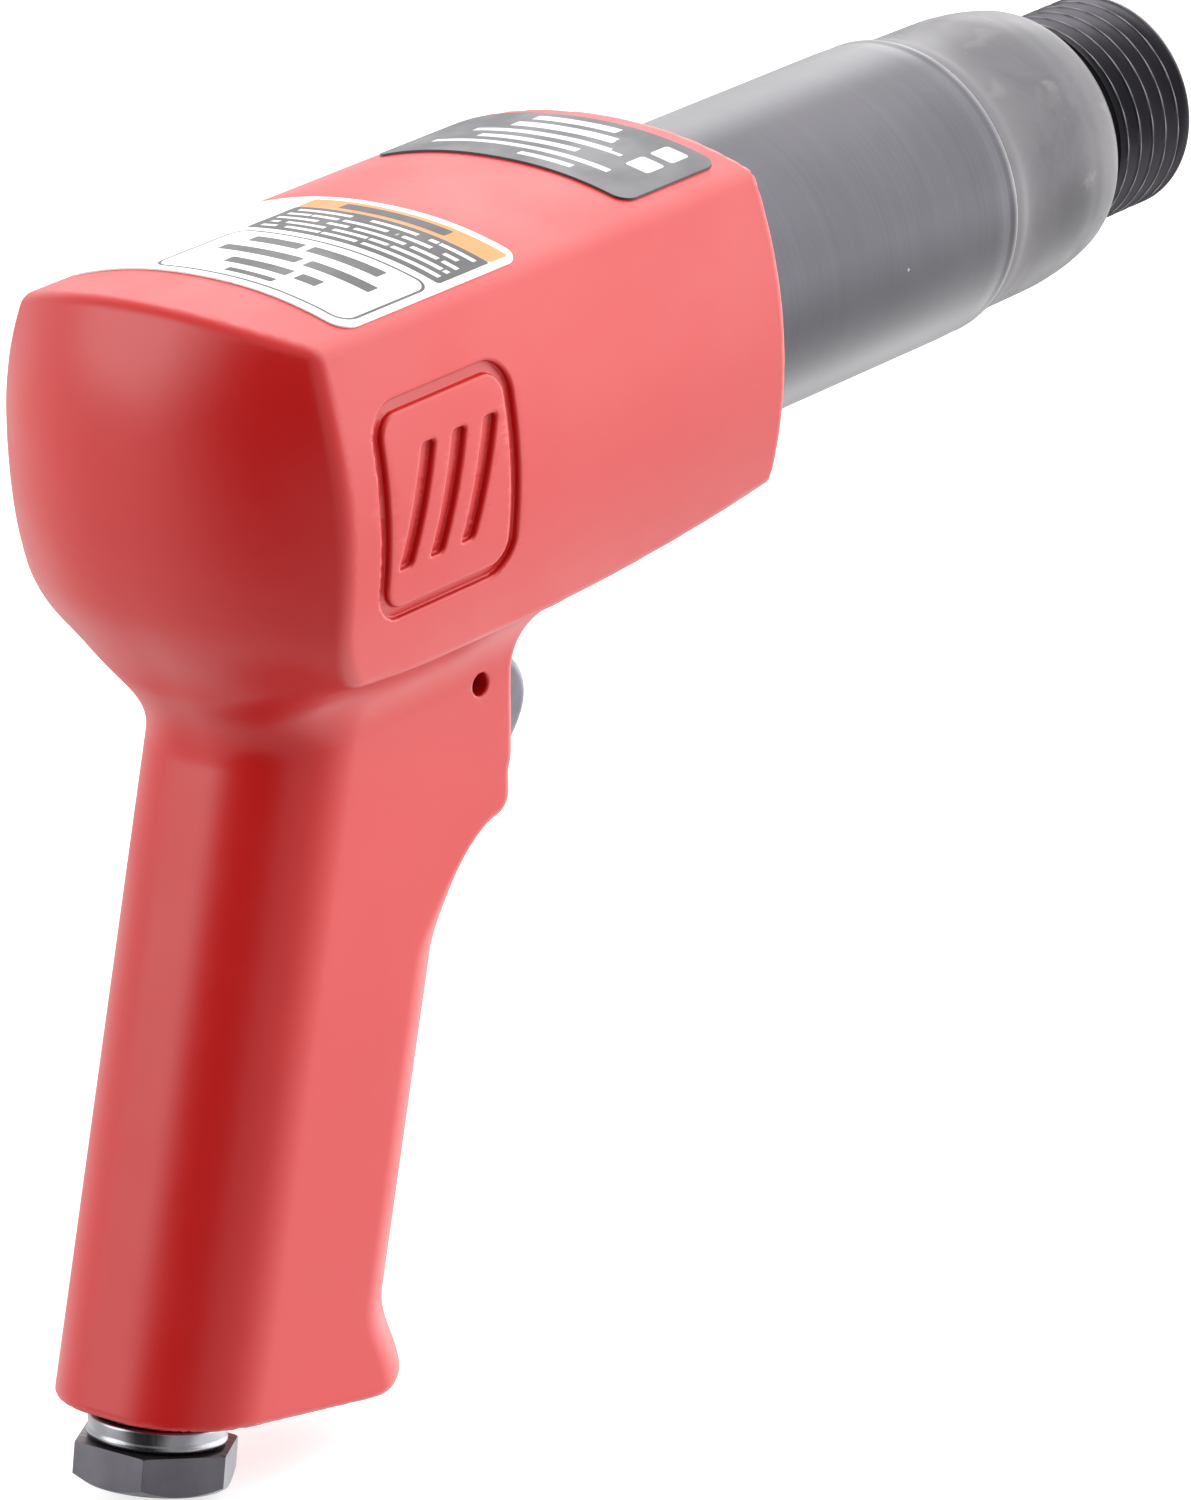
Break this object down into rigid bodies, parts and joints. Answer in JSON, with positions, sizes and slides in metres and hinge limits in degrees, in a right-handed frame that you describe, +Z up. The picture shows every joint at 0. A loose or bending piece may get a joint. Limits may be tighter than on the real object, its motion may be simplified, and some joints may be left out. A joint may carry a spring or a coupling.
{
  "type": "pneumatic air hammer",
  "caption": "Pistol-grip pneumatic air hammer: red cast housing, blued barrel sleeve with a threaded nose for a chisel retainer, sprung trigger and hex air inlet under the grip.",
  "frame": {"origin": "middle of the bounding box's footprint, on the ground plane under the inlet's hex", "axes": "+X forward out of the muzzle along the barrel, +Y to the tool's left, +Z up"},
  "size_m": [0.2211, 0.0548, 0.1532],
  "materials": {
    "red_paint": "satin red paint over a die-cast housing",
    "blackened_steel": "smooth blue-black oxide",
    "nose_steel": "turned and dark oxidised",
    "bright_steel": "ground",
    "dark_steel": "satin, dark",
    "plated_steel": "bright zinc plate",
    "brass": "turned",
    "rubber": "moulded",
    "label_white": "printed film label",
    "plate_dark": "thin printed foil plate"
  },
  "bodies": {
    "housing": {"handle_housing": "red_paint", "cylinder": "nose_steel", "barrel_sleeve": "blackened_steel", "valve_block": "bright_steel", "valve_cap": "bright_steel", "dowel_pin_left": "bright_steel", "dowel_pin_right": "bright_steel", "rear_gasket": "rubber", "trigger_pin": "dark_steel", "throttle_bushing": "brass", "throttle_bushing_ring": "rubber", "throttle_spring": "bright_steel", "cylinder_lock_screw": "dark_steel", "inlet_bushing": "dark_steel", "inlet_collar": "plated_steel", "inlet_seal": "rubber", "inlet_screen": "brass", "safety_label": "label_white", "rating_plate": "plate_dark"},
    "trigger": {"trigger": "dark_steel"},
    "throttle": {"throttle_stem": "bright_steel", "throttle_stem_seal": "rubber"},
    "piston": {"piston": "bright_steel"},
    "valve_disc": {"valve_disc": "bright_steel"}
  },
  "joints": [
    {"name": "trigger_pivot", "type": "hinge", "parent": "housing", "child": "trigger", "pos_m": [-0.04665, 0, 0.09318], "axis": [0, 1, 0], "range_deg": [0, 9], "stiffness_Nm_per_rad": 0.3, "springref_deg": -17.19},
    {"name": "throttle_slide", "type": "slide", "parent": "housing", "child": "throttle", "axis": [-1, 0, 0], "range_m": [0, 0.0022], "deforming": ["throttle_spring"]},
    {"name": "piston_slide", "type": "slide", "parent": "housing", "child": "piston", "axis": [1, 0, 0], "range_m": [0, 0.0885]},
    {"name": "valve_disc_slide", "type": "slide", "parent": "housing", "child": "valve_disc", "axis": [-1, 0, 0], "range_m": [0, 0.0012]}
  ],
  "couplings": [
    {"joint": "throttle_slide", "follows": "trigger_pivot", "m_per_rad": 0.0135}
  ]
}
